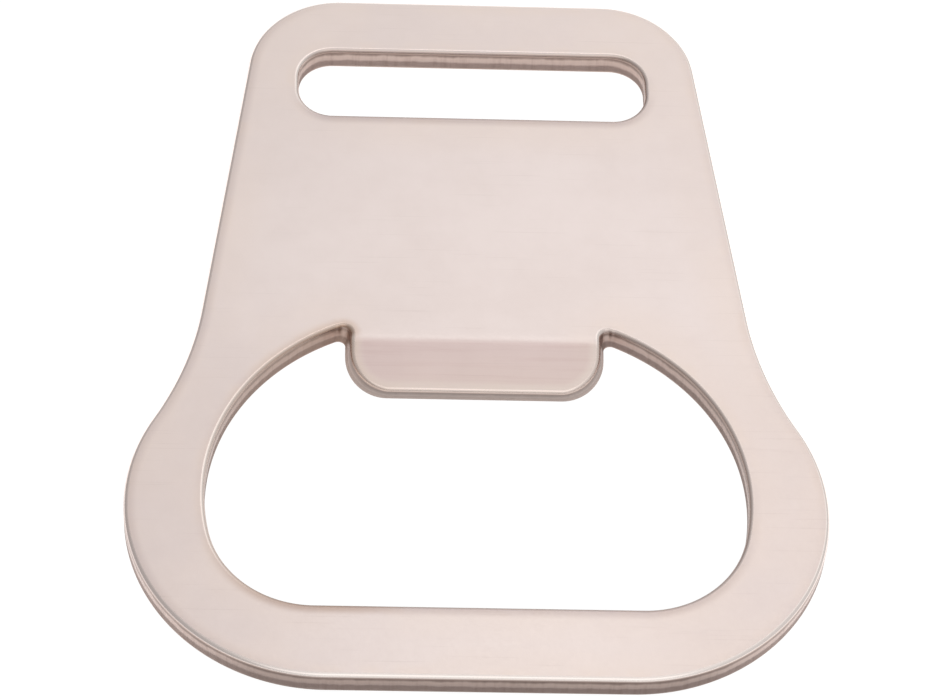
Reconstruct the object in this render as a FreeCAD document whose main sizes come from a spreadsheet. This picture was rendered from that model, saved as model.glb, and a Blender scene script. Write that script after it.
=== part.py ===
# Bottle opener for a keychain or a webbing strap: one blanked steel plate with a webbing slot,
# a D-shaped opening for the crown cap and a lip that is bent back to hook under the cap.
# Part frame, mm: +Z out of the front face, +Y towards the webbing slot, +X across the plate.
# The origin is under the middle of the outline, level with the lowest point of the lip.
import FreeCAD, Part
import math
import os
import Sketcher

doc = FreeCAD.newDocument("bottle_opener")

# Sizes, in mm and degrees.
SIZES = [
    ("plate_width", 48.0, "across the two hips"),
    ("plate_height", 58.5, "bottom edge to top edge"),
    ("sheet_thickness", 2.0, "steel sheet"),
    ("top_corner_radius", 6.8, "the two upper corners"),
    ("top_corner_offset", 9.6, "centre line to the centre of an upper corner"),
    ("side_slope", 7.2, "lean of the straight side from vertical, degrees"),
    ("waist_radius", 26.2, "hollow curve between the side and the hip"),
    ("hip_radius", 13.8, "round hip, down to the bottom edge"),
    ("bar_width", 5.6, "bottom edge to the opening"),
    ("opening_corner_radius", 7.3, "lower corners of the opening"),
    ("shoulder_radius", 15.2, "upper curve of the opening, each side"),
    ("shoulder_offset", 3.35, "centre line to the centre of that curve"),
    ("shoulder_height", 14.65, "bottom edge to the centre of that curve"),
    ("notch_radius", 0.45, "relief at the root of the lip"),
    ("lip_half", 9.15, "centre line to the side of the lip"),
    ("lip_corner_radius", 3.0, "lip tip corners"),
    ("lip_flat", 3.3, "straight part of the lip, from its bend to its tip"),
    ("lip_angle", 18.0, "lean of the lip out of the plate, towards the back, degrees"),
    ("lip_bend_radius", 1.2, "bend, on the back of the sheet"),
    ("slot_length", 25.4, "overall, takes 25 mm webbing"),
    ("slot_width", 6.05, "overall"),
    ("slot_corner_radius", 2.5, "the four corners of the slot"),
    ("slot_height", 50.65, "bottom edge to the middle of the slot"),
    ("edge_radius", 0.3, "tumbled edge, front and back"),
]

sheet = doc.addObject("Spreadsheet::Sheet", "Sizes")
for row, (alias, value, note) in enumerate(SIZES, start=1):
    sheet.set("A%d" % row, alias)
    sheet.set("B%d" % row, str(value))
    sheet.set("C%d" % row, note)
    sheet.setAlias("B%d" % row, alias)
doc.recompute()


def size(alias):
    return float(sheet.get(alias))


def origin_plane(body, role):
    return [f for f in body.Origin.OriginFeatures if f.Role == role][0]


def new_sketch(body, name, support):
    sk = body.newObject("Sketcher::SketchObject", name)
    sk.AttachmentSupport = [(support, "")]
    sk.MapMode = "FlatFace"
    return sk


def line(x0, y0, x1, y1):
    return Part.LineSegment(FreeCAD.Vector(x0, y0, 0), FreeCAD.Vector(x1, y1, 0))


def arc(cx, cy, r, start, end):
    """Arc run counter-clockwise between two angles in degrees."""
    circle = Part.Circle(FreeCAD.Vector(cx, cy, 0), FreeCAD.Vector(0, 0, 1), r)
    return Part.ArcOfCircle(circle, math.radians(start), math.radians(end))


def heading(x0, y0, x1, y1):
    return math.degrees(math.atan2(y1 - y0, x1 - x0))


def bind(sk, index, expression):
    sk.setExpression("Constraints[%d]" % index, expression)


def radius(sk, geo, alias):
    bind(sk, sk.addConstraint(Sketcher.Constraint("Radius", geo, size(alias))), "Sizes." + alias)


def distance_x(sk, geo, pos, value, expression):
    """Distance from the centre line; the left half runs from the point to the axis."""
    if value > 0:
        c = Sketcher.Constraint("DistanceX", -1, 1, geo, pos, value)
    else:
        c = Sketcher.Constraint("DistanceX", geo, pos, -1, 1, -value)
    bind(sk, sk.addConstraint(c), expression)


def distance_y(sk, geo, pos, value, expression):
    bind(sk, sk.addConstraint(Sketcher.Constraint("DistanceY", -1, 1, geo, pos, value)), expression)


def chain_tangent(sk, pairs):
    for g1, p1, g2, p2 in pairs:
        sk.addConstraint(Sketcher.Constraint("Tangent", g1, p1, g2, p2))


def check_fully_constrained(sk):
    if sk.solve() != 0:
        raise RuntimeError("sketch %s has no solution" % sk.Name)


START, END, CENTRE = 1, 2, 3

body = doc.addObject("PartDesign::Body", "OpenerPlate")
body.Label = "opener_plate"
face_plane = origin_plane(body, "XY_Plane")
side_plane = origin_plane(body, "YZ_Plane")

# ---- Blank: the outline of the plate --------------------------------------------------------
W, H, T = size("plate_width"), size("plate_height"), size("sheet_thickness")
R1, R2, RH = size("top_corner_radius"), size("waist_radius"), size("hip_radius")
CX, SLOPE = size("top_corner_offset"), math.radians(size("side_slope"))
hip_x, hip_y = W / 2 - RH, RH
out_x, out_y = math.cos(SLOPE), math.sin(SLOPE)
run_x, run_y = math.sin(SLOPE), -math.cos(SLOPE)
# The waist arc touches the side line from outside and the hip arc from outside.
base_x = CX + (R1 + R2) * out_x - hip_x
base_y = H - R1 + (R1 + R2) * out_y - hip_y
along = base_x * run_x + base_y * run_y
slide = -along - math.sqrt(along ** 2 - (base_x ** 2 + base_y ** 2 - (R2 + RH) ** 2))
waist_x = hip_x + base_x + slide * run_x
waist_y = hip_y + base_y + slide * run_y
lean = size("side_slope")
hip_top = heading(hip_x, hip_y, waist_x, waist_y)

blank = new_sketch(body, "BlankOutline", face_plane)
for s in (1, -1):
    # right half first, then its mirror: corner, side, waist, hip
    side = [(CX + R1 * out_x, H - R1 + R1 * out_y), (waist_x - R2 * out_x, waist_y - R2 * out_y)]
    if s > 0:
        blank.addGeometry(arc(CX, H - R1, R1, lean, 90))
        blank.addGeometry(line(side[0][0], side[0][1], side[1][0], side[1][1]))
        blank.addGeometry(arc(waist_x, waist_y, R2, 180 + lean, 180 + hip_top))
        blank.addGeometry(arc(hip_x, hip_y, RH, -90, hip_top))
    else:
        blank.addGeometry(arc(-CX, H - R1, R1, 90, 180 - lean))
        blank.addGeometry(line(-side[0][0], side[0][1], -side[1][0], side[1][1]))
        blank.addGeometry(arc(-waist_x, waist_y, R2, -hip_top, -lean))
        blank.addGeometry(arc(-hip_x, hip_y, RH, 180 - hip_top, 270))
top = blank.addGeometry(line(-CX, H, CX, H))
bottom = blank.addGeometry(line(-hip_x, 0, hip_x, 0))
chain_tangent(blank, [
    (top, END, 0, END), (0, START, 1, START), (1, END, 2, START), (2, END, 3, END),
    (3, START, bottom, END), (bottom, START, 7, END), (7, START, 6, START), (6, END, 5, END),
    (5, START, 4, END), (4, START, top, START),
])
for geo, alias in ((0, "top_corner_radius"), (2, "waist_radius"), (3, "hip_radius"),
                   (4, "top_corner_radius"), (6, "waist_radius"), (7, "hip_radius")):
    radius(blank, geo, alias)
blank.addConstraint(Sketcher.Constraint("Horizontal", top))
blank.addConstraint(Sketcher.Constraint("Horizontal", bottom))
blank.addConstraint(Sketcher.Constraint("PointOnObject", bottom, START, -1))
distance_y(blank, top, START, H, "Sizes.plate_height")
for geo, s in ((3, 1), (7, -1)):
    distance_x(blank, geo, CENTRE, s * hip_x, "Sizes.plate_width / 2 - Sizes.hip_radius")
for geo, s in ((0, 1), (4, -1)):
    distance_x(blank, geo, CENTRE, s * CX, "Sizes.top_corner_offset")
for geo, s in ((1, 1), (5, -1)):
    angle = Sketcher.Constraint("Angle", geo, math.radians(-90 + s * lean))
    bind(blank, blank.addConstraint(angle), "-90 %s Sizes.side_slope" % ("+" if s > 0 else "-"))
check_fully_constrained(blank)

plate = body.newObject("PartDesign::Pad", "Plate")
plate.Profile = blank
plate.Type = "Length"
plate.setExpression("Length", "Sizes.sheet_thickness")
doc.recompute()

# ---- Cap opening: flat bar below, round corners, two shoulder curves and the lip's notches --
RI, RU, RN = size("opening_corner_radius"), size("shoulder_radius"), size("notch_radius")
ux, uy = size("shoulder_offset"), size("shoulder_height")
corner_y = size("bar_width") + RI
corner_x = ux + math.sqrt((RU - RI) ** 2 - (corner_y - uy) ** 2)
notch_x = size("lip_half") + RN
notch_y = uy + math.sqrt((RU - RN) ** 2 - (notch_x - ux) ** 2)
low = heading(ux, uy, corner_x, corner_y)
high = heading(ux, uy, notch_x, notch_y)
bar_y = size("bar_width")

opening = new_sketch(body, "CapOpeningOutline", face_plane)
for s in (1, -1):
    if s > 0:
        opening.addGeometry(arc(notch_x, notch_y, RN, high, 180))
        opening.addGeometry(arc(ux, uy, RU, low, high))
        opening.addGeometry(arc(corner_x, corner_y, RI, -90, low))
    else:
        opening.addGeometry(arc(-notch_x, notch_y, RN, 0, 180 - high))
        opening.addGeometry(arc(-ux, uy, RU, 180 - high, 180 - low))
        opening.addGeometry(arc(-corner_x, corner_y, RI, 180 - low, 270))
root = opening.addGeometry(line(-notch_x + RN, notch_y, notch_x - RN, notch_y))
bar = opening.addGeometry(line(-corner_x, bar_y, corner_x, bar_y))
chain_tangent(opening, [
    (0, START, 1, END), (1, START, 2, END), (2, START, bar, END),
    (bar, START, 5, END), (5, START, 4, END), (4, START, 3, END),
])
for geo, alias in ((0, "notch_radius"), (1, "shoulder_radius"), (2, "opening_corner_radius"),
                   (3, "notch_radius"), (4, "shoulder_radius"), (5, "opening_corner_radius")):
    radius(opening, geo, alias)
opening.addConstraint(Sketcher.Constraint("Coincident", root, START, 3, START))
opening.addConstraint(Sketcher.Constraint("Coincident", root, END, 0, END))
opening.addConstraint(Sketcher.Constraint("Horizontal", root))
opening.addConstraint(Sketcher.Constraint("Horizontal", bar))
distance_y(opening, bar, START, bar_y, "Sizes.bar_width")
for geo, s in ((1, 1), (4, -1)):
    distance_x(opening, geo, CENTRE, s * ux, "Sizes.shoulder_offset")
    distance_y(opening, geo, CENTRE, uy, "Sizes.shoulder_height")
for geo, pos, s in ((0, END, 1), (3, START, -1)):
    distance_x(opening, geo, pos, s * (notch_x - RN), "Sizes.lip_half")
opening.addConstraint(Sketcher.Constraint("Horizontal", 0, CENTRE, 0, END))
check_fully_constrained(opening)
doc.recompute()


def pocket(name, sketch, both_ways=False):
    """Cut the sketch right through; the cut must take material away."""
    before = body.Shape.Volume
    cut = body.newObject("PartDesign::Pocket", name)
    cut.Profile = sketch
    if both_ways:
        cut.SideType = "Two sides"
        cut.Type = "ThroughAll"
        cut.Type2 = "ThroughAll"
    else:
        cut.Type = "ThroughAll"
        cut.Reversed = True
    doc.recompute()
    print(name, "takes away %.1f mm3" % (before - body.Shape.Volume))
    if before - body.Shape.Volume < 1.0:
        raise RuntimeError(name + " cut nothing")
    return cut


pocket("CapOpening", opening)

# ---- Lip: a tongue of the same sheet, bent back below the web --------------------------------
RB, FLAT = size("lip_bend_radius"), size("lip_flat")
BEND = math.radians(size("lip_angle"))
OVERLAP = 1.5
ROOT = ("Sizes.shoulder_height + sqrt((Sizes.shoulder_radius - Sizes.notch_radius) ^ 2 - "
        "(Sizes.lip_half + Sizes.notch_radius - Sizes.shoulder_offset) ^ 2)")


def on_bend(r, a):
    return notch_y - r * math.sin(a), -RB + r * math.cos(a)


front_end = on_bend(RB + T, BEND)
back_end = on_bend(RB, BEND)
down = (FLAT * math.cos(BEND), FLAT * math.sin(BEND))
tongue = new_sketch(body, "LipProfile", side_plane)
turn = 90 + size("lip_angle")
tongue.addGeometry(arc(notch_y, -RB, RB + T, 90, turn))
tongue.addGeometry(line(front_end[0] - down[0], front_end[1] - down[1], *front_end))
tongue.addGeometry(line(front_end[0] - down[0], front_end[1] - down[1],
                        back_end[0] - down[0], back_end[1] - down[1]))
tongue.addGeometry(line(back_end[0] - down[0], back_end[1] - down[1], *back_end))
tongue.addGeometry(arc(notch_y, -RB, RB, 90, turn))
tongue.addGeometry(line(notch_y, 0, notch_y + OVERLAP, 0))
tongue.addGeometry(line(notch_y + OVERLAP, 0, notch_y + OVERLAP, T))
tongue.addGeometry(line(notch_y + OVERLAP, T, notch_y, T))
chain_tangent(tongue, [(7, END, 0, START), (0, END, 1, END), (5, START, 4, START),
                       (4, END, 3, END)])
for g1, p1, g2, p2 in ((1, START, 2, START), (2, END, 3, START), (5, END, 6, START),
                       (6, END, 7, START)):
    tongue.addConstraint(Sketcher.Constraint("Coincident", g1, p1, g2, p2))
tongue.addConstraint(Sketcher.Constraint("Vertical", 6))
tongue.addConstraint(Sketcher.Constraint("Horizontal", 5))
tongue.addConstraint(Sketcher.Constraint("Horizontal", 7))
tongue.addConstraint(Sketcher.Constraint("Perpendicular", 1, 2))
tongue.addConstraint(Sketcher.Constraint("PointOnObject", 5, START, -1))
distance_y(tongue, 7, START, T, "Sizes.sheet_thickness")
radius(tongue, 4, "lip_bend_radius")
outer_bend = tongue.addConstraint(Sketcher.Constraint("Radius", 0, RB + T))
bind(tongue, outer_bend, "Sizes.lip_bend_radius + Sizes.sheet_thickness")
distance_x(tongue, 0, CENTRE, notch_y, ROOT)
distance_x(tongue, 4, CENTRE, notch_y, ROOT)
for geo in (1, 3):
    angle = Sketcher.Constraint("Angle", geo, BEND)
    bind(tongue, tongue.addConstraint(angle), "Sizes.lip_angle")
length = tongue.addConstraint(Sketcher.Constraint("Distance", 1, FLAT))
bind(tongue, length, "Sizes.lip_flat")
tongue.addConstraint(Sketcher.Constraint("Distance", 5, OVERLAP))
check_fully_constrained(tongue)

lip = body.newObject("PartDesign::Pad", "Lip")
lip.Profile = tongue
lip.SideType = "Symmetric"
lip.Type = "Length"
lip.setExpression("Length", "2 * Sizes.lip_half")
doc.recompute()


def edges_where(shape, test):
    return ["Edge%d" % (i + 1) for i, e in enumerate(shape.Edges) if test(e)]


def middle_of(edge):
    return edge.valueAt((edge.FirstParameter + edge.LastParameter) / 2)


def is_tip_corner(edge):
    """An edge through the thickness at a side end of the lip's tip."""
    m = middle_of(edge)
    beside = abs(abs(m.x) - size("lip_half")) < 1e-3
    return beside and bar_y + 1 < m.y < notch_y - 2 and abs(edge.Length - T) < 1e-3


corners = edges_where(body.Shape, is_tip_corner)
print("lip tip corners:", corners)
lip_corners = body.newObject("PartDesign::Fillet", "LipCorners")
lip_corners.Base = (lip, corners)
lip_corners.setExpression("Radius", "Sizes.lip_corner_radius")
doc.recompute()

# ---- Webbing slot: a long hole with generous corners ------------------------------------------
SL, SW, SH, RS = size("slot_length"), size("slot_width"), size("slot_height"), size("slot_corner_radius")
end_x, end_y = SL / 2 - RS, SW / 2 - RS
slot = new_sketch(body, "SlotOutline", face_plane)
slot.addGeometry(arc(end_x, SH + end_y, RS, 0, 90))
slot.addGeometry(arc(-end_x, SH + end_y, RS, 90, 180))
slot.addGeometry(arc(-end_x, SH - end_y, RS, 180, 270))
slot.addGeometry(arc(end_x, SH - end_y, RS, 270, 360))
slot.addGeometry(line(end_x, SH + SW / 2, -end_x, SH + SW / 2))
slot.addGeometry(line(-SL / 2, SH + end_y, -SL / 2, SH - end_y))
slot.addGeometry(line(-end_x, SH - SW / 2, end_x, SH - SW / 2))
slot.addGeometry(line(SL / 2, SH - end_y, SL / 2, SH + end_y))
chain_tangent(slot, [
    (0, END, 4, START), (4, END, 1, START), (1, END, 5, START), (5, END, 2, START),
    (2, END, 6, START), (6, END, 3, START), (3, END, 7, START), (7, END, 0, START),
])
for geo in (0, 1, 2, 3):
    radius(slot, geo, "slot_corner_radius")
for geo, s in ((0, 1), (1, -1)):
    distance_x(slot, geo, CENTRE, s * end_x, "Sizes.slot_length / 2 - Sizes.slot_corner_radius")
distance_y(slot, 4, START, SH + SW / 2, "Sizes.slot_height + Sizes.slot_width / 2")
distance_y(slot, 6, START, SH - SW / 2, "Sizes.slot_height - Sizes.slot_width / 2")
slot.addConstraint(Sketcher.Constraint("Horizontal", 4))
slot.addConstraint(Sketcher.Constraint("Vertical", 5))
slot.addConstraint(Sketcher.Constraint("Vertical", 7))
check_fully_constrained(slot)
slot_cut = pocket("WebbingSlot", slot)

# ---- Tumbled edges: every edge between a wall and the front or the back of the sheet ---------

def is_rim(edge):
    """An edge between a wall and a face of the sheet, not one that runs through the thickness."""
    faces = cut_shape.ancestorsOfType(edge, Part.Face)
    if len(faces) != 2:
        return False
    middle = middle_of(edge)
    normals = []
    for f in faces:
        u, v = f.Surface.parameter(middle)
        normals.append(f.normalAt(u, v))
    square = abs(normals[0].dot(normals[1])) < 0.3
    across = edge.tangentAt((edge.FirstParameter + edge.LastParameter) / 2)
    through = abs(across.z) > 0.8 and abs(across.x) < 0.1
    return square and not through


cut_shape = slot_cut.Shape
rims = edges_where(cut_shape, is_rim)
print(len(cut_shape.Edges), "edges,", len(rims), "rims")
rounds = body.newObject("PartDesign::Fillet", "TumbledEdges")
rounds.Base = (slot_cut, rims)
rounds.setExpression("Radius", "Sizes.edge_radius")
doc.recompute()

# ---- Place the plate: middle of the outline over the origin, lip tip level with it ------------
LIFT = ("Sizes.lip_bend_radius * (1 - cos(Sizes.lip_angle * 1 deg)) + "
        "Sizes.lip_flat * sin(Sizes.lip_angle * 1 deg) + "
        "Sizes.edge_radius * (1 - cos(Sizes.lip_angle * 1 deg) - sin(Sizes.lip_angle * 1 deg))")
body.setExpression("Placement.Base.y", "-Sizes.plate_height / 2")
body.setExpression("Placement.Base.z", LIFT)
doc.recompute()
box = body.Shape.optimalBoundingBox(True)
print("size %.2f x %.2f x %.2f, lowest %.3f" % (box.XLength, box.YLength, box.ZLength, box.ZMin))
print("volume %.1f mm3" % body.Shape.Volume)

# ---- Check and export -------------------------------------------------------------------------
for obj in doc.Objects:
    if any(word in obj.State for word in ("Invalid", "Error")):
        raise RuntimeError("%s: %s" % (obj.Name, obj.State))
os.makedirs("parts", exist_ok=True)
for part in (body,):
    if part.Shape.isNull() or not part.Shape.isValid() or len(part.Shape.Solids) != 1:
        raise RuntimeError(part.Label + " is not one valid solid")
    part.Shape.exportStep("parts/%s.step" % part.Label)
print("exported", body.Label)
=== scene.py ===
import math

import bpy
import numpy as np
from mathutils import Matrix, Vector
from mathutils.geometry import delaunay_2d_cdt


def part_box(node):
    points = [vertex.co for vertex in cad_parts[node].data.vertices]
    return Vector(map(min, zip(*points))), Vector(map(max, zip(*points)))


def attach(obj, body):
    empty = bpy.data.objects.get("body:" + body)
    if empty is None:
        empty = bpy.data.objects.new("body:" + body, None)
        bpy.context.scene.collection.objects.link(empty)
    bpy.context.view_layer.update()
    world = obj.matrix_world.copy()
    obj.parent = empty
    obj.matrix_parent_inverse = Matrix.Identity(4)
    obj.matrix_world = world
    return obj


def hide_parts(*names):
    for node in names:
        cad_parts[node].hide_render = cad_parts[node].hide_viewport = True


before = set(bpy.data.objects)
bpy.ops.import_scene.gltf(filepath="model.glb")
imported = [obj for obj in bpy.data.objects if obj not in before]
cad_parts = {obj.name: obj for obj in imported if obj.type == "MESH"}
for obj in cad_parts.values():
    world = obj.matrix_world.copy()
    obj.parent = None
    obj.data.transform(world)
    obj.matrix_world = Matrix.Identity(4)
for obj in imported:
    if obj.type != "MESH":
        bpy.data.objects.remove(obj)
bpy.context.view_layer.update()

# ---- The blank -----------------------------------------------------------------------------
# One flat plate blanked from 2 mm steel sheet in a press: round hips around the cap opening,
# hollow waists, straight sides that close in towards the webbing slot, two round top corners.
MM = 0.001
PLATE_LOW, PLATE_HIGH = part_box("opener_plate")
PLATE_WIDE = (PLATE_HIGH.x - PLATE_LOW.x) / MM
PLATE_TALL = (PLATE_HIGH.y - PLATE_LOW.y) / MM
SHEET = 2.0
TOP_CORNER, TOP_CORNER_OUT, SIDE_SLOPE = 6.8, 9.6, math.radians(7.2)
WAIST, HIP = 26.2, 13.8
POINT_GAP, ARC_POINTS = 0.3, 12


def straight(start, end, metal_side):
    """A straight run from start to end. The normal points away from the metal: metal_side is
    +1 where the metal lies to the left of the run and -1 where it lies to the right."""
    a, b = np.array(start, float), np.array(end, float)
    length = np.linalg.norm(b - a)
    t = np.linspace(0, 1, max(2, math.ceil(length / POINT_GAP)), endpoint=False)[:, None]
    along = (b - a) / length
    normal = metal_side * np.array([along[1], -along[0]])
    return np.hstack([a + t * (b - a), np.tile(normal, (len(t), 1))])


def bow(centre, radius, start, end, bulge):
    """An arc from angle start to angle end in degrees, point = centre + radius (cos, sin).
    bulge is +1 where the metal is inside the circle and -1 where it is outside."""
    sweep = math.radians(abs(end - start))
    count = max(ARC_POINTS, math.ceil(sweep * radius / POINT_GAP))
    a = np.radians(np.linspace(start, end, count, endpoint=False))
    ray = np.column_stack([np.cos(a), np.sin(a)])
    return np.hstack([np.array(centre) + radius * ray, bulge * ray])


def bearing(a, b):
    """Direction from a to b in degrees."""
    return math.degrees(math.atan2(b[1] - a[1], b[0] - a[0]))


hip_centre = np.array([PLATE_WIDE / 2 - HIP, HIP])
top_centre = np.array([TOP_CORNER_OUT, PLATE_TALL - TOP_CORNER])
side_out = np.array([math.cos(SIDE_SLOPE), math.sin(SIDE_SLOPE)])
side_down = np.array([math.sin(SIDE_SLOPE), -math.cos(SIDE_SLOPE)])
# The waist circle touches the side line and the hip circle from outside both.
to_waist = top_centre + (TOP_CORNER + WAIST) * side_out - hip_centre
drop = to_waist @ side_down
slide = -drop - math.sqrt(drop ** 2 - (to_waist @ to_waist - (WAIST + HIP) ** 2))
waist_centre = hip_centre + to_waist + slide * side_down
lean = math.degrees(SIDE_SLOPE)
hip_top = bearing(hip_centre, waist_centre)
MIRROR = np.array([-1.0, 1.0])

outline = np.vstack([
    straight([-hip_centre[0], 0], [hip_centre[0], 0], 1),
    bow(hip_centre, HIP, -90, hip_top, 1),
    bow(waist_centre, WAIST, 180 + hip_top, 180 + lean, -1),
    straight(waist_centre - WAIST * side_out, top_centre + TOP_CORNER * side_out, 1),
    bow(top_centre, TOP_CORNER, lean, 90, 1),
    straight([TOP_CORNER_OUT, PLATE_TALL], [-TOP_CORNER_OUT, PLATE_TALL], 1),
    bow(top_centre * MIRROR, TOP_CORNER, 90, 180 - lean, 1),
    straight((top_centre + TOP_CORNER * side_out) * MIRROR, (waist_centre - WAIST * side_out) * MIRROR, 1),
    bow(waist_centre * MIRROR, WAIST, -lean, -hip_top, -1),
    bow(hip_centre * MIRROR, HIP, 180 - hip_top, 270, 1),
])

# ---- The webbing slot ------------------------------------------------------------------------
# Punched through in the same press stroke: a long hole with generous corners for 25 mm webbing.
SLOT_LONG, SLOT_WIDE, SLOT_UP, SLOT_CORNER = 25.4, 6.05, 50.65, 2.5
slot_x, slot_y = SLOT_LONG / 2, SLOT_WIDE / 2
corner_x, corner_y = slot_x - SLOT_CORNER, slot_y - SLOT_CORNER
slot_edge = np.vstack([
    straight([-corner_x, SLOT_UP - slot_y], [corner_x, SLOT_UP - slot_y], -1),
    bow([corner_x, SLOT_UP - corner_y], SLOT_CORNER, -90, 0, -1),
    straight([slot_x, SLOT_UP - corner_y], [slot_x, SLOT_UP + corner_y], -1),
    bow([corner_x, SLOT_UP + corner_y], SLOT_CORNER, 0, 90, -1),
    straight([corner_x, SLOT_UP + slot_y], [-corner_x, SLOT_UP + slot_y], -1),
    bow([-corner_x, SLOT_UP + corner_y], SLOT_CORNER, 90, 180, -1),
    straight([-slot_x, SLOT_UP + corner_y], [-slot_x, SLOT_UP - corner_y], -1),
    bow([-corner_x, SLOT_UP - corner_y], SLOT_CORNER, 180, 270, -1),
])

# ---- The cap opening and the lip ---------------------------------------------------------------
# The opening is punched with the lip still flat; a second stroke then bends the lip 18 degrees
# towards the back, so that it hooks under a crown cap. A small notch frees each side of its root.
BAR, LOW_CORNER = 5.6, 7.3
SHOULDER, SHOULDER_OUT, SHOULDER_UP = 15.2, 3.35, 14.65
NOTCH, LIP_HALF, LIP_CORNER, LIP_FLAT = 0.45, 9.15, 3.0, 3.3
LIP_BEND, LIP_BEND_INSIDE, LIP_MARGIN = math.radians(18.0), 1.2, 0.1
bend_run = (LIP_BEND_INSIDE + SHEET / 2) * LIP_BEND

shoulder_centre = np.array([SHOULDER_OUT, SHOULDER_UP])
low_up = BAR + LOW_CORNER
low_centre = np.array([
    SHOULDER_OUT + math.sqrt((SHOULDER - LOW_CORNER) ** 2 - (low_up - SHOULDER_UP) ** 2), low_up])
notch_out = LIP_HALF + NOTCH
notch_centre = np.array([
    notch_out, SHOULDER_UP + math.sqrt((SHOULDER - NOTCH) ** 2 - (notch_out - SHOULDER_OUT) ** 2)])
bend_line = notch_centre[1]
tip_line = bend_line - bend_run - LIP_FLAT
low_turn = bearing(shoulder_centre, low_centre)
high_turn = bearing(shoulder_centre, notch_centre)
tip_corner = np.array([LIP_HALF - LIP_CORNER, tip_line + LIP_CORNER])

opening_edge = np.vstack([
    straight([-low_centre[0], BAR], [low_centre[0], BAR], -1),
    bow(low_centre, LOW_CORNER, -90, low_turn, -1),
    bow(shoulder_centre, SHOULDER, low_turn, high_turn, -1),
    bow(notch_centre, NOTCH, high_turn, 180, -1),
    straight([LIP_HALF, bend_line], [LIP_HALF, tip_corner[1]], -1),
    bow(tip_corner, LIP_CORNER, 0, -90, 1),
    straight([tip_corner[0], tip_line], [-tip_corner[0], tip_line], -1),
    bow(tip_corner * MIRROR, LIP_CORNER, -90, -180, 1),
    straight([-LIP_HALF, tip_corner[1]], [-LIP_HALF, bend_line], -1),
    bow(notch_centre * MIRROR, NOTCH, 0, 180 - high_turn, -1),
    bow(shoulder_centre * MIRROR, SHOULDER, 180 - high_turn, 180 - low_turn, -1),
    bow(low_centre * MIRROR, LOW_CORNER, 180 - low_turn, 270, -1),
])

# ---- The cut edge ------------------------------------------------------------------------------
# Each cut edge goes round the sheet: tumbled smooth at the front and back rims, a shiny sheared
# band below the front rim and a torn band, pulled in a few hundredths, down to the back rim.
RIM, RIM_TURN_STEP = 0.30, 11.25
TORN_IN, TORN_FROM, TORN_SHARP, TORN_RELEASE = 0.03, 0.52, 60, 0.2
LIP_FLARE = 0.45
# A hole's rim mark, a painted shade: its strength on the lip, how far below the bend line that starts, and
# its loss facing +X.
LIP_RIM, LIP_RIM_FROM, RIGHT_LOSS = 0.45, 0.2, 0.8
# The far mark, a painted shade on the rims by which way they face: on a hole's side walls, and on the
# outline where it faces -X and +X.
FAR_SHADE_LEAST, FAR_SHADE_LEFT, FAR_SHADE_RIGHT = 0.2, 0.7, 0.2
skin_steps = np.array([1.6, 1.2, 0.85, 0.6, 0.45, 0.33])
turn = np.radians(np.arange(0, 91, RIM_TURN_STEP))
wall_down = np.linspace(RIM, SHEET - RIM, 15)[1:-1]
torn = 1 / (1 + np.exp(-(wall_down / SHEET - TORN_FROM) * TORN_SHARP))
release = np.clip((SHEET - RIM - wall_down) / TORN_RELEASE, 0, 1)

# Columns: how far in from the cut, how deep below the front, how far turned into the wall.
front_part = np.vstack([
    np.column_stack([skin_steps, np.zeros((len(skin_steps), 2))]),
    np.column_stack([RIM * (1 - np.sin(turn)), RIM * (1 - np.cos(turn)), np.sin(turn)]),
])
wall_part = np.column_stack([TORN_IN * torn * release, wall_down, np.ones(len(wall_down))])
back_part = front_part[::-1] * [1, -1, 1] + [0, SHEET, 0]
cut_profile = np.vstack([front_part, wall_part, back_part])


def cut_band(edge, first, punched):
    """The surface point(i, j) = edge_i - (inset_j + flare_i * (1 - depth_j / SHEET)) * normal_i at
    height SHEET - depth_j: the cut profile carried along a closed edge. The flare leans the two
    sides of the lip out towards the back. Gives points, quads facing out and five marks for each
    point: inset, depth, turn, hole (painted shade on the rim of a punched hole: 1 there, less beside
    the lip and where the normal points to +X, 0 on the outline) and far (painted shade on the rims
    by facing: strongest where the normal points to +Y in a hole, and to -X on the outline)."""
    n, m = len(edge), len(cut_profile)
    inset, depth, turned = cut_profile.T
    beside_lip = (abs(edge[:, 0]) < notch_out) & (edge[:, 1] > tip_line - LIP_MARGIN)
    beside_lip &= edge[:, 1] < bend_line + NOTCH
    flare = LIP_FLARE * np.where(beside_lip, np.maximum(edge[:, 2] * np.sign(edge[:, 0]), 0), 0)
    inward = inset[None, :] + flare[:, None] * (1 - depth[None, :] / SHEET)
    flat = edge[:, None, :2] - inward[:, :, None] * edge[:, None, 2:]
    high = np.broadcast_to(SHEET - depth, (n, m))
    points = np.dstack([flat, high]).reshape(-1, 3)
    i, j = np.meshgrid(np.arange(n), np.arange(m - 1), indexing="ij")
    here, ahead = first + i * m + j, first + (i + 1) % n * m + j
    quads = np.stack([here, here + 1, ahead + 1, ahead], axis=-1).reshape(-1, 4)
    along = np.roll(edge[:, :2], -1, 0) - edge[:, :2]
    if (along[0, 0] * edge[0, 3] - along[0, 1] * edge[0, 2]) > 0:
        quads = quads[:, ::-1]
    plain_rim = 1 - RIGHT_LOSS * np.maximum(edge[:, 2], 0) ** 2
    on_lip_rim = beside_lip & (edge[:, 1] < bend_line - LIP_RIM_FROM)
    hole = punched * np.where(on_lip_rim, LIP_RIM, plain_rim)
    side_far_shade = np.maximum(-FAR_SHADE_LEFT * edge[:, 2], FAR_SHADE_RIGHT * edge[:, 2])
    hole_far_shade = hole * np.clip(FAR_SHADE_LEAST + (1 - FAR_SHADE_LEAST) * edge[:, 3], 0, 1)
    far = np.where(punched, hole_far_shade, side_far_shade)
    marks = np.column_stack([
        np.tile(inset, n), np.tile(depth, n), np.tile(turned, n), np.repeat(hole, m), np.repeat(far, m)])
    return points, quads, marks


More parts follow.
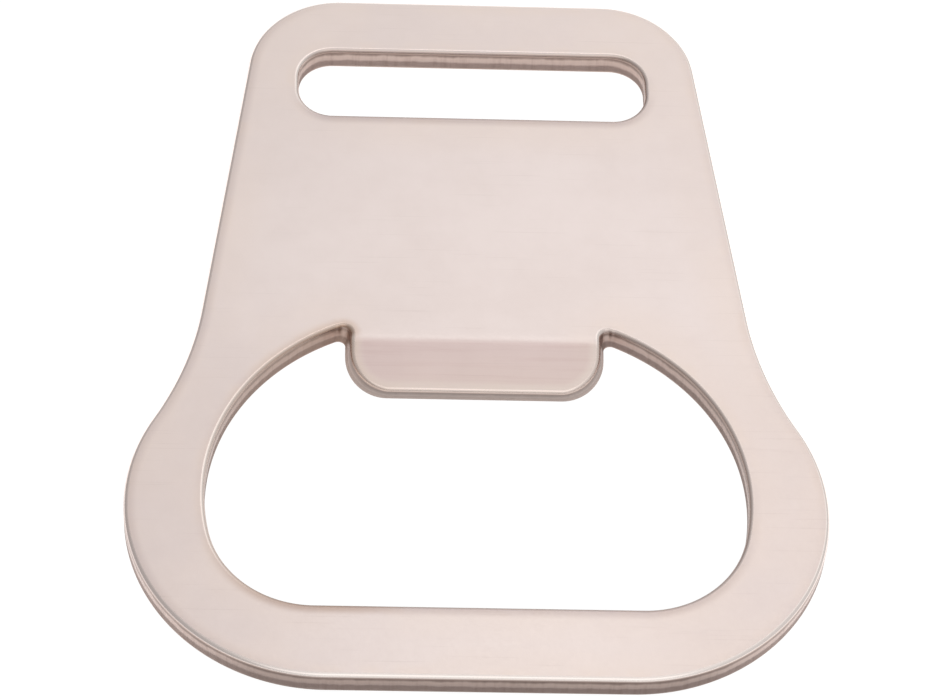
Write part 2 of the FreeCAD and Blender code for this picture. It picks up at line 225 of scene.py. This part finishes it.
edges = [outline, slot_edge, opening_edge]
points, quads, marks, front_rings, back_rings = [], [], [], [], []
total = 0
for edge in edges:
    p, q, k = cut_band(edge, total, 0.0 if edge is outline else 1.0)
    points.append(p)
    quads.append(q)
    marks.append(k)
    m = len(cut_profile)
    front_rings.append(total + np.arange(len(edge)) * m)
    back_rings.append(total + np.arange(len(edge)) * m + m - 1)
    total += len(p)
points, quads, marks = np.vstack(points), np.vstack(quads), np.vstack(marks)

# ---- The two faces -----------------------------------------------------------------------------
# The flat skins of the sheet between the cut edges. Their points lie on an even grid, with close
# rows across the lip's bend, joined by triangles so that the skin can follow the bend.
GRID, SKIN_ROOM = 1.3, 0.35
ROOT_ROOM, ROOT_ROW, BEND_ROWS = 0.6, 0.3, 8
LIP_ROW_FROM, LIP_ROW_GAP, LIP_ROWS_END = 0.35, 0.4, 3.0
LIP_COLUMNS, LIP_COLUMN_GAP = 7, 0.9
FLARE_FROM, FLARE_TO, FLARE_ROOM = 6.6, 9.5, 0.3


def edge_distance(flat):
    """Distance of each flat point into the metal from the nearest point of any cut edge,
    negative outside the metal."""
    rim = np.vstack(edges)
    reach = ((flat[:, None, :] - rim[None, :, :2]) ** 2).sum(-1)
    near = reach.argmin(1)
    side = ((flat - rim[near, :2]) * rim[near, 2:]).sum(1)
    return np.where(side < 0, 1, -1) * np.sqrt(reach.min(1))


def inside(flat, rings):
    """Whether each flat point lies in the metal: the number of ring sides that a ray from the
    point towards +X crosses is odd."""
    crossings = np.zeros(len(flat), int)
    for ring in rings:
        ax, ay = ring.T
        bx, by = np.roll(ring, -1, 0).T
        spans = (ay[None] > flat[:, 1:]) != (by[None] > flat[:, 1:])
        climb = np.where(by == ay, 1.0, by - ay)
        meets = ax + (flat[:, 1:] - ay[None]) * (bx - ax) / climb
        crossings += (spans & (meets > flat[:, :1])).sum(1)
    return crossings % 2 == 1


gx = np.arange(-PLATE_WIDE / 2, PLATE_WIDE / 2 + GRID, GRID)
gy = np.arange(0, PLATE_TALL + GRID, GRID)
grid = np.stack(np.meshgrid(gx, gy, indexing="ij"), -1).reshape(-1, 2)
on_lip = (abs(grid[:, 0]) < LIP_HALF) & (grid[:, 1] < bend_line + ROOT_ROOM) & (grid[:, 1] > tip_line)
grid = grid[~on_lip]
rows_down = np.concatenate([
    [-ROOT_ROW],
    np.linspace(0, bend_run, BEND_ROWS),
    np.arange(bend_run + LIP_ROW_FROM, LIP_ROWS_END, LIP_ROW_GAP),
])
lip_x = np.arange(-LIP_COLUMNS, LIP_COLUMNS + 1) * LIP_COLUMN_GAP
lip_rows = np.stack(np.meshgrid(lip_x, bend_line - rows_down, indexing="ij"), -1).reshape(-1, 2)
inner = np.vstack([grid, lip_rows])
depth_in = edge_distance(inner)
# Points keep off the cut edges, and further off where the lip's sides flare.
clear = depth_in > skin_steps[0] + SKIN_ROOM
beside_flare = (abs(inner[:, 0]) >= FLARE_FROM) & (abs(inner[:, 0]) <= FLARE_TO)
clear &= ~beside_flare | (depth_in > skin_steps[0] + LIP_FLARE + FLARE_ROOM)
inner, depth_in = inner[clear], depth_in[clear]

ring_ids = np.concatenate(front_rings)
ring_flat = points[ring_ids, :2]
loops, start = [], 0
for ring in front_rings:
    ids = np.arange(start, start + len(ring))
    loops += list(zip(ids.tolist(), np.roll(ids, -1).tolist()))
    start += len(ring)
flat_points = np.vstack([ring_flat, inner])
made = delaunay_2d_cdt([Vector(p) for p in flat_points], loops, [], 0, 1e-6)
origin_of = np.array([ids[0] for ids in made[3]])
tris = origin_of[np.array(made[2])]
rings = [points[ring, :2] for ring in front_rings]
tris = tris[inside(flat_points[tris].mean(1), rings)]

front_ids = np.concatenate([ring_ids, total + np.arange(len(inner))])
back_ids = np.concatenate([np.concatenate(back_rings), total + len(inner) + np.arange(len(inner))])
flat3 = np.column_stack([inner, np.full(len(inner), SHEET)])
points = np.vstack([points, flat3, flat3 * [1, 1, 0]])
inner_marks = np.column_stack([depth_in, np.zeros((len(inner), 4))])
marks = np.vstack([marks, inner_marks, inner_marks + [0, SHEET, 0, 0, 0]])
skins = np.vstack([front_ids[tris], back_ids[tris[:, ::-1]]])

# ---- The bend ------------------------------------------------------------------------------------
# The second press stroke: the lip turns down about a line level with its root, on a 1.2 mm
# radius at the back of the sheet, and runs on straight to its tip.
flat_x, flat_y = points[:, 0], points[:, 1]
is_lip = (abs(flat_x) < notch_out) & (flat_y < bend_line) & (flat_y > tip_line - LIP_MARGIN)
run = np.where(is_lip, bend_line - flat_y, 0.0)
angle = np.clip(run / bend_run, 0, 1) * LIP_BEND
beyond = np.maximum(run - bend_run, 0)
reach = LIP_BEND_INSIDE + points[:, 2]
bent_y = bend_line - reach * np.sin(angle) - beyond * np.cos(angle)
bent_z = reach * np.cos(angle) - LIP_BEND_INSIDE - beyond * np.sin(angle)
points[:, 1] = np.where(is_lip, bent_y, flat_y)
points[:, 2] = np.where(is_lip, bent_z, points[:, 2])

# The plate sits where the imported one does: centred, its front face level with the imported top.
place = np.array([0.0, -PLATE_TALL / 2, PLATE_HIGH.z / MM - SHEET])
coords = (points + place) * MM
mesh = bpy.data.meshes.new("stamped_plate")
mesh.from_pydata(coords.tolist(), [], quads.tolist() + skins.tolist())
mesh.validate()
mesh.shade_smooth()
for name, values in (
    ("rim_gap", marks[:, 0]),
    ("depth", marks[:, 1] / SHEET),
    ("wall", marks[:, 2]),
    ("hole_rim_shade", marks[:, 3]),
    ("far_rim_shade", marks[:, 4]),
    ("bent", np.clip(run / bend_run, 0, 1)),
):
    mesh.attributes.new(name, "FLOAT", "POINT").data.foreach_set("value", values.astype(np.float32))
plate = bpy.data.objects.new("stamped_plate", mesh)
bpy.context.scene.collection.objects.link(plate)
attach(plate, "root")
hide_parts("opener_plate")

# ---- The finish ----------------------------------------------------------------------------------
# Satin nickel over steel, tumbled in the barrel: faint soft clouds, a very fine even grain, a few hairlines,
# polished rims with a painted highlight, painted shade along some rims and on the ring's sides, and long
# drawn streaks on the lip where the bending tool slid.
SATIN_DEEP, SATIN_PALE = (0.780, 0.676, 0.641, 1), (0.835, 0.732, 0.700, 1)
RIM_HIGHLIGHT, RIM_STAIN, LIP_TONE = (0.95, 0.86, 0.81, 1), (0.80, 0.66, 0.57, 1), (1.0, 0.915, 0.915, 1)
RIM_TURN_SHADE, LIP_EDGE_HIGHLIGHT = (0.42, 0.325, 0.285, 1), (0.90, 0.79, 0.71, 1)
STREAK_TONE, SIDE_SHADE_TONE = (0.86, 0.80, 0.80, 1), (0.945, 0.935, 0.935, 1)
FAR_SHADE_TONE, LEFT_SHADE_TONE = (0.80, 0.78, 0.79, 1), (0.88, 0.81, 0.74, 1)
HOLE_SHADE_PLAIN, HOLE_SHADE_LEFT = (0.55, 0.50, 0.48, 1), (0.56, 0.46, 0.39, 1)
HAIRLINE_TONE = (0.7, 0.66, 0.64, 1)


def wire(tree, kind, settings=(), inputs=(), feeds=()):
    """One shader node: attributes, input values by name or number, and links into its inputs."""
    node = tree.nodes.new(kind)
    for key, value in settings:
        setattr(node, key, value)
    for key, value in inputs:
        node.inputs[key].default_value = value
    for key, socket in feeds:
        tree.links.new(socket, node.inputs[key])
    return node


def maths(tree, operation, a, b=0.5, clamp=False):
    """operation(a, b), where each of a and b is a number or a socket."""
    node = wire(tree, "ShaderNodeMath", [("operation", operation), ("use_clamp", clamp)])
    for k, value in enumerate((a, b)):
        if isinstance(value, (int, float)):
            node.inputs[k].default_value = value
        else:
            tree.links.new(value, node.inputs[k])
    return node.outputs[0]


def ramp(tree, value, low, high, out_low=0.0, out_high=1.0):
    """Smooth step of value from low..high to out_low..out_high."""
    node = wire(tree, "ShaderNodeMapRange", [("interpolation_type", "SMOOTHSTEP")],
                [(1, low), (2, high), (3, out_low), (4, out_high)], [(0, value)])
    return node.outputs[0]


def blend(tree, mode, factor, a, b):
    """Colour a mixed with colour b in the given mode; factor, a and b are values or sockets."""
    node = wire(tree, "ShaderNodeMix", [("data_type", "RGBA"), ("blend_type", mode)])
    for k, value in ((0, factor), (6, a), (7, b)):
        if isinstance(value, (int, float, tuple)):
            node.inputs[k].default_value = value
        else:
            tree.links.new(value, node.inputs[k])
    return node.outputs[2]


def noise(tree, where, scale, detail=2.0, rough=0.5):
    """Fractal noise from 0 to 1, scale in cycles per millimetre."""
    return wire(tree, "ShaderNodeTexNoise", [],
                [("Scale", scale), ("Detail", detail), ("Roughness", rough)],
                [("Vector", where)]).outputs[0]


def stretched(tree, where, turn, stretch):
    """The place turned about Z, then squeezed along each axis by stretch."""
    return wire(tree, "ShaderNodeMapping", [],
                [("Rotation", (0, 0, math.radians(turn))), ("Scale", stretch)],
                [("Vector", where)]).outputs[0]


def tumbled_grain():
    """Node group: the soft clouds, fine grain and sparse hairlines of barrel-tumbled metal, each
    from 0 to 1. Cloud and grain are noise at their own scales; the hairlines are the strongest of
    three stretched noises, turned to different angles and cut off below a threshold."""
    group = bpy.data.node_groups.new("tumbled_grain", "ShaderNodeTree")
    group.interface.new_socket(name="Place", in_out="INPUT", socket_type="NodeSocketVector")
    for name in ("Cloud Scale", "Grain Scale"):
        group.interface.new_socket(name=name, in_out="INPUT", socket_type="NodeSocketFloat")
    for name in ("Cloud", "Grain", "Hairline"):
        group.interface.new_socket(name=name, in_out="OUTPUT", socket_type="NodeSocketFloat")
    taken = group.nodes.new("NodeGroupInput")
    given = group.nodes.new("NodeGroupOutput")
    place = taken.outputs["Place"]
    cloud = wire(group, "ShaderNodeTexNoise", [], [("Detail", 3.0), ("Roughness", 0.55)],
                 [("Vector", place), ("Scale", taken.outputs["Cloud Scale"])]).outputs[0]
    grain = wire(group, "ShaderNodeTexNoise", [], [("Detail", 3.0), ("Roughness", 0.65)],
                 [("Vector", place), ("Scale", taken.outputs["Grain Scale"])]).outputs[0]
    lines = None
    for turn, seed_shift in ((24, 0.0), (-37, 31.0), (81, 57.0)):
        moved = wire(group, "ShaderNodeVectorMath", [("operation", "ADD")],
                     [(1, (seed_shift, seed_shift, 0))], [(0, place)]).outputs[0]
        streak = noise(group, stretched(group, moved, turn, (0.10, 7.0, 1.0)), 1.0, 1.0)
        line = ramp(group, streak, 0.70, 0.76)
        lines = line if lines is None else maths(group, "MAXIMUM", lines, line)
    group.links.new(cloud, given.inputs["Cloud"])
    group.links.new(grain, given.inputs["Grain"])
    group.links.new(lines, given.inputs["Hairline"])
    return group


def mark(tree, name):
    """A per-point mark of the mesh as a socket."""
    return wire(tree, "ShaderNodeAttribute", [("attribute_name", name)]).outputs["Fac"]


def in_millimetres(tree):
    """The surface point in the object's own frame, in millimetres."""
    own = wire(tree, "ShaderNodeTexCoord").outputs["Object"]
    scaled = wire(tree, "ShaderNodeVectorMath", [("operation", "SCALE")], [("Scale", 1 / MM)], [(0, own)])
    return scaled.outputs[0]


grain_group = tumbled_grain()
satin = bpy.data.materials.new("satin_nickel")
satin.use_nodes = True
tree = satin.node_tree
bsdf = tree.nodes["Principled BSDF"]
bsdf.inputs["Metallic"].default_value = 1.0
where = in_millimetres(tree)
grain = wire(tree, "ShaderNodeGroup", [("node_tree", grain_group)],
             [("Cloud Scale", 0.085), ("Grain Scale", 5.5)], [("Place", where)])
fleck = noise(tree, where, 0.45, 3.0, 0.6)
cloud = maths(tree, "ADD", maths(tree, "MULTIPLY", grain.outputs["Cloud"], 0.7),
              maths(tree, "MULTIPLY", fleck, 0.3))
bent = mark(tree, "bent")
wall = mark(tree, "wall")
rim_gap = mark(tree, "rim_gap")
drawn = noise(tree, stretched(tree, where, 0, (0.09, 3.2, 1.0)), 1.0, 3.0, 0.65)
on_bent = ramp(tree, bent, 0.2, 0.8)

# The skin: clouded satin, a cooler tone and drawn streaks on the bent lip.
colour = blend(tree, "MIX", ramp(tree, cloud, 0.3, 0.7), SATIN_DEEP, SATIN_PALE)
colour = blend(tree, "MULTIPLY", maths(tree, "MULTIPLY", on_bent, 0.9), colour, LIP_TONE)
streak = maths(tree, "MULTIPLY", ramp(tree, drawn, 0.42, 0.68), on_bent)
colour = blend(tree, "MULTIPLY", maths(tree, "MULTIPLY", streak, 0.25), colour, STREAK_TONE)
# Painted shade: a little darker on the two sides of the ring.
spot = wire(tree, "ShaderNodeSeparateXYZ", [], [], [(0, where)]).outputs
side_shade = maths(tree, "MULTIPLY", ramp(tree, maths(tree, "ABSOLUTE", spot["X"]), 6.0, 17.0),
                ramp(tree, spot["Y"], 4.0, -10.0))
colour = blend(tree, "MULTIPLY", side_shade, colour, SIDE_SHADE_TONE)
# Faint warm stain in patches along every edge, and a painted cream highlight along the lip's tip.
stain = maths(tree, "MULTIPLY", ramp(tree, rim_gap, 1.3, 0.35), ramp(tree, fleck, 0.38, 0.66))
colour = blend(tree, "MIX", maths(tree, "MULTIPLY", stain, 0.30), colour, RIM_STAIN)
warm = maths(tree, "MULTIPLY", ramp(tree, rim_gap, 4.5, 1.0), ramp(tree, grain.outputs["Cloud"], 0.30, 0.60))
colour = blend(tree, "MIX", maths(tree, "MULTIPLY", warm, 0.26), colour, RIM_STAIN)
lip_edge_highlight = maths(tree, "MULTIPLY", ramp(tree, rim_gap, 1.0, 0.35), on_bent)
colour = blend(tree, "MIX", maths(tree, "MULTIPLY", lip_edge_highlight, 0.55), colour, LIP_EDGE_HIGHLIGHT)
# The rims: polished, with a painted highlight on them, less of it round the holes, on the lip and where the
# far mark's painted shade lies.
on_rim = maths(tree, "MULTIPLY", ramp(tree, wall, 0.0, 0.15), ramp(tree, wall, 1.0, 0.8))
hole_rim_shade = mark(tree, "hole_rim_shade")
far_rim_shade = mark(tree, "far_rim_shade")
quiet = maths(tree, "MULTIPLY", maths(tree, "MAXIMUM", hole_rim_shade, bent), 0.85)
quiet = maths(tree, "MAXIMUM", quiet, far_rim_shade)
bright = maths(tree, "MULTIPLY", on_rim, maths(tree, "SUBTRACT", 1.0, quiet))
colour = blend(tree, "MIX", bright, colour, RIM_HIGHLIGHT)
# Painted shade: the rims darker where the far mark lies, by which way they face.
far_shade = maths(tree, "MULTIPLY", far_rim_shade, ramp(tree, rim_gap, 1.0, 0.3))
colour = blend(tree, "MULTIPLY", far_shade, colour, FAR_SHADE_TONE)
# Painted shade: the rims of the holes darken into the wall, darker and browner on the left.
hole_shaded = maths(tree, "MULTIPLY", hole_rim_shade, ramp(tree, wall, 0.15, 0.95))
on_left = maths(tree, "MULTIPLY", ramp(tree, spot["X"], -4.0, -9.0), ramp(tree, spot["Y"], 6.0, 0.0))
hole_shade_tone = blend(tree, "MIX", on_left, HOLE_SHADE_PLAIN, HOLE_SHADE_LEFT)
colour = blend(tree, "MULTIPLY", hole_shaded, colour, hole_shade_tone)
left_shade = maths(tree, "MULTIPLY", on_left, maths(tree, "MULTIPLY", hole_rim_shade, ramp(tree, rim_gap, 0.9, 0.2)))
colour = blend(tree, "MULTIPLY", left_shade, colour, LEFT_SHADE_TONE)
# Painted shade: a dark line where the rim turns into the wall.
colour = blend(tree, "MIX", ramp(tree, wall, 0.86, 0.99), colour, RIM_TURN_SHADE)
scratched = maths(tree, "MULTIPLY", grain.outputs["Hairline"], 0.12)
colour = blend(tree, "MULTIPLY", scratched, colour, HAIRLINE_TONE)
tree.links.new(colour, bsdf.inputs["Base Color"])

gloss = maths(tree, "ADD", 0.25, maths(tree, "MULTIPLY", grain.outputs["Grain"], 0.12))
gloss = maths(tree, "ADD", gloss, maths(tree, "MULTIPLY", cloud, 0.06))
gloss = maths(tree, "ADD", gloss, maths(tree, "MULTIPLY", streak, 0.08))
gloss = maths(tree, "SUBTRACT", gloss, maths(tree, "MULTIPLY", on_rim, 0.12), True)
tree.links.new(gloss, bsdf.inputs["Roughness"])

height = maths(tree, "ADD", maths(tree, "MULTIPLY", grain.outputs["Grain"], 0.5),
               maths(tree, "MULTIPLY", drawn, maths(tree, "MULTIPLY", on_bent, 1.2)))
height = maths(tree, "SUBTRACT", height, maths(tree, "MULTIPLY", grain.outputs["Hairline"], 0.5))
relief = wire(tree, "ShaderNodeBump", [], [("Strength", 0.16), ("Distance", 0.00002)], [("Height", height)])
tree.links.new(relief.outputs[0], bsdf.inputs["Normal"])
mesh.materials.append(satin)

# ---- The sheared walls -----------------------------------------------------------------------------
# Bare from the press: a painted dark line of shade under the rim, a drawn shiny band with marks
# running through the sheet, and below it the darker, coarse band where the steel tore.
BANDS = (
    (0.09, (0.42, 0.33, 0.29, 1)), (0.14, (0.24, 0.175, 0.15, 1)), (0.21, (0.28, 0.21, 0.185, 1)),
    (0.32, (0.53, 0.415, 0.37, 1)), (0.50, (0.49, 0.385, 0.345, 1)), (0.62, (0.33, 0.255, 0.23, 1)),
    (0.80, (0.33, 0.255, 0.23, 1)), (0.90, (0.42, 0.34, 0.31, 1)))
COMB_TONE, WALL_LEFT_SHADE = (0.72, 0.68, 0.66, 1), (0.45, 0.325, 0.255, 1)
IRONED_TOP, IRONED_LOW = (0.27, 0.21, 0.185, 1), (0.62, 0.53, 0.49, 1)

sheared = bpy.data.materials.new("sheared_steel")
sheared.use_nodes = True
tree = sheared.node_tree
bsdf = tree.nodes["Principled BSDF"]
bsdf.inputs["Metallic"].default_value = 1.0
where = in_millimetres(tree)
grain = wire(tree, "ShaderNodeGroup", [("node_tree", grain_group)],
             [("Cloud Scale", 0.25), ("Grain Scale", 7.0)], [("Place", where)])
deep = mark(tree, "depth")
comb = noise(tree, stretched(tree, where, 0, (1.0, 1.0, 0.06)), 3.0, 3.0, 0.7)
ragged = noise(tree, stretched(tree, where, 0, (1.0, 1.0, 0.3)), 0.8, 3.0, 0.6)
# How deep in the sheet, from 0 at the front to 1 at the back, with a ragged edge to each band.
level_at = maths(tree, "ADD", deep, maths(tree, "MULTIPLY", maths(tree, "SUBTRACT", ragged, 0.5), 0.22))
bands = wire(tree, "ShaderNodeValToRGB", [], [], [("Fac", level_at)])
stops = bands.color_ramp.elements
for k, (position, colour) in enumerate(BANDS):
    stop = stops[k] if k < 2 else stops.new(position)
    stop.position, stop.color = position, colour
comb_dark = maths(tree, "MULTIPLY", ramp(tree, comb, 0.45, 0.7), 0.35)
colour = blend(tree, "MULTIPLY", comb_dark, bands.outputs[0], COMB_TONE)
# On the lip the bending tool has ironed the bands into one that pales towards the back.
ironed = blend(tree, "MIX", ramp(tree, level_at, 0.18, 0.85), IRONED_TOP, IRONED_LOW)
colour = blend(tree, "MIX", maths(tree, "MULTIPLY", mark(tree, "bent"), 0.75), colour, ironed)
spot = wire(tree, "ShaderNodeSeparateXYZ", [], [], [(0, where)]).outputs
# Painted shade: the holes' walls darker and browner on the left.
left_shade = maths(tree, "MULTIPLY", ramp(tree, spot["X"], -6.0, -10.5), ramp(tree, spot["Y"], 6.0, 0.0))
left_shade = maths(tree, "MULTIPLY", left_shade, mark(tree, "hole_rim_shade"))
colour = blend(tree, "MIX", maths(tree, "MULTIPLY", left_shade, 0.55), colour, WALL_LEFT_SHADE)
tree.links.new(colour, bsdf.inputs["Base Color"])
tears = ramp(tree, level_at, 0.50, 0.62)
gloss = maths(tree, "ADD", 0.28, maths(tree, "MULTIPLY", tears, 0.22))
gloss = maths(tree, "ADD", gloss, maths(tree, "MULTIPLY", comb, 0.12))
tree.links.new(gloss, bsdf.inputs["Roughness"])
height = maths(tree, "ADD", maths(tree, "MULTIPLY", comb, maths(tree, "SUBTRACT", 1.0, tears)),
               maths(tree, "MULTIPLY", grain.outputs["Grain"], maths(tree, "MULTIPLY", tears, 2.0)))
relief = wire(tree, "ShaderNodeBump", [], [("Strength", 0.35), ("Distance", 0.00003)], [("Height", height)])
tree.links.new(relief.outputs[0], bsdf.inputs["Normal"])
mesh.materials.append(sheared)

# The walls are the quads whose corners are all turned fully into the cut.
FULL_TURN = 0.999
is_wall = (marks[quads, 2].min(1) > FULL_TURN).astype(np.int32)
mesh.polygons.foreach_set("material_index", np.concatenate([is_wall, np.zeros(len(skins), np.int32)]))

# ---- Camera, light and floor ---------------------------------------------------------------------
# Pale, nearly even surroundings with three weak soft lights, over a pale floor that glows beside
# and beyond the plate, and a long lens that looks down from the bar's side.
AIM = Vector((-0.00006, -0.00256, PLATE_HIGH.z))
CAMERA_TURN, CAMERA_RISE, CAMERA_ROLL = math.radians(-4.39), math.radians(54.0), math.radians(4.65)
CAMERA_AWAY, CAMERA_LENS, CAMERA_NEAREST = 0.27905, 151.58, 0.01

level = Vector((math.cos(CAMERA_TURN), math.sin(CAMERA_TURN), 0))
back = Vector((
    math.sin(CAMERA_TURN) * math.cos(CAMERA_RISE),
    -math.cos(CAMERA_TURN) * math.cos(CAMERA_RISE),
    math.sin(CAMERA_RISE)))
upright = back.cross(level)
right = level * math.cos(CAMERA_ROLL) + upright * math.sin(CAMERA_ROLL)
up = upright * math.cos(CAMERA_ROLL) - level * math.sin(CAMERA_ROLL)
camera_data = bpy.data.cameras.new("camera")
camera_data.lens = CAMERA_LENS
camera_data.clip_start = CAMERA_NEAREST
camera = bpy.data.objects.new("camera", camera_data)
bpy.context.scene.collection.objects.link(camera)
turned = Matrix((right, up, back)).transposed().to_4x4()
camera.matrix_world = Matrix.Translation(AIM + back * CAMERA_AWAY) @ turned
bpy.context.scene.camera = camera


def soft_light(name, place, target, wide, tall, power):
    """A white rectangular softbox, wide by tall metres, at place and facing target; power in watts."""
    data = bpy.data.lights.new(name, "AREA")
    data.shape = "RECTANGLE"
    data.size, data.size_y = wide, tall
    data.energy = power
    lamp = bpy.data.objects.new(name, data)
    bpy.context.scene.collection.objects.link(lamp)
    facing = (Vector(target) - Vector(place)).to_track_quat("-Z", "Y")
    lamp.matrix_world = Matrix.Translation(Vector(place)) @ facing.to_matrix().to_4x4()


soft_light("far_side", (0.26, 0.36, 0.60), (0.26, 0, 0), 0.56, 0.30, 0.13)
soft_light("far_strip", (0.04, 0.32, 0.62), (0.04, 0, 0), 0.14, 0.20, 0.040)
soft_light("near_side", (0.0, -0.42, 0.60), (0, 0, 0), 0.60, 0.50, 0.28)


def grey(level):
    """The neutral colour with red, green and blue all at level."""
    return (level, level, level, 1)


# Pale all round, darker towards -X, and darker again far out on the left and on the right.
SKY_LEFT, SKY_RIGHT, SKY_FAR_LEFT, SKY_FAR_RIGHT = grey(0.74), grey(0.86), grey(0.72), grey(0.82)
world = bpy.data.worlds.new("studio")
bpy.context.scene.world = world
world.use_nodes = True
sky = world.node_tree
direction = wire(sky, "ShaderNodeTexCoord").outputs["Generated"]
across = wire(sky, "ShaderNodeSeparateXYZ", [], [], [(0, direction)]).outputs["X"]
tone = blend(sky, "MIX", ramp(sky, across, -0.16, 0.06), SKY_LEFT, SKY_RIGHT)
tone = blend(sky, "MULTIPLY", ramp(sky, across, -0.15, -0.6), tone, SKY_FAR_LEFT)
tone = blend(sky, "MULTIPLY", ramp(sky, across, 0.3, 0.7), tone, SKY_FAR_RIGHT)
sky.links.new(tone, sky.nodes["Background"].inputs["Color"])

FLOOR_HALF, FLOOR_ROUGH, FLOOR_COLOUR = 0.6, 0.9, grey(0.92)
# The floor's glow at most beside the plate, on the bar's side and on the far side.
GLOW_BESIDE, GLOW_NEAR, GLOW_FAR = 0.55, 0.13, 0.52
# How bright the floor looks to the camera itself, and how much of that replaces its own light.
FLOOR_SEEN, SEEN_SHARE = 1.04, 0.93
floor_mesh = bpy.data.meshes.new("floor")
floor_mesh.from_pydata(
    [(-FLOOR_HALF, -FLOOR_HALF, 0), (FLOOR_HALF, -FLOOR_HALF, 0),
     (FLOOR_HALF, FLOOR_HALF, 0), (-FLOOR_HALF, FLOOR_HALF, 0)], [], [(0, 1, 2, 3)])
floor = bpy.data.objects.new("floor", floor_mesh)
bpy.context.scene.collection.objects.link(floor)
floor_paint = bpy.data.materials.new("pale_floor")
floor_paint.use_nodes = True
tree = floor_paint.node_tree
paint = tree.nodes["Principled BSDF"]
paint.inputs["Base Color"].default_value = FLOOR_COLOUR
paint.inputs["Roughness"].default_value = FLOOR_ROUGH
on_floor = wire(tree, "ShaderNodeSeparateXYZ", [], [], [(0, in_millimetres(tree))]).outputs
aside = maths(tree, "ABSOLUTE", on_floor["X"])
beside = maths(tree, "MULTIPLY", ramp(tree, aside, 14.0, 24.0, 0.0, GLOW_BESIDE),
               ramp(tree, aside, 42.0, 28.0))
beyond_bar = ramp(tree, on_floor["Y"], -28.0, 18.0, GLOW_NEAR, GLOW_FAR)
paint.inputs["Emission Color"].default_value = grey(1)
tree.links.new(maths(tree, "ADD", beside, beyond_bar), paint.inputs["Emission Strength"])
glow = wire(tree, "ShaderNodeEmission", [], [("Color", grey(1)), ("Strength", FLOOR_SEEN)])
seen = maths(tree, "MULTIPLY", wire(tree, "ShaderNodeLightPath").outputs["Is Camera Ray"], SEEN_SHARE)
lit = wire(tree, "ShaderNodeMixShader", [], [], [(0, seen), (1, paint.outputs[0]), (2, glow.outputs[0])])
tree.links.new(lit.outputs[0], tree.nodes["Material Output"].inputs["Surface"])
floor_mesh.materials.append(floor_paint)
bpy.context.scene.view_settings.view_transform = "Standard"
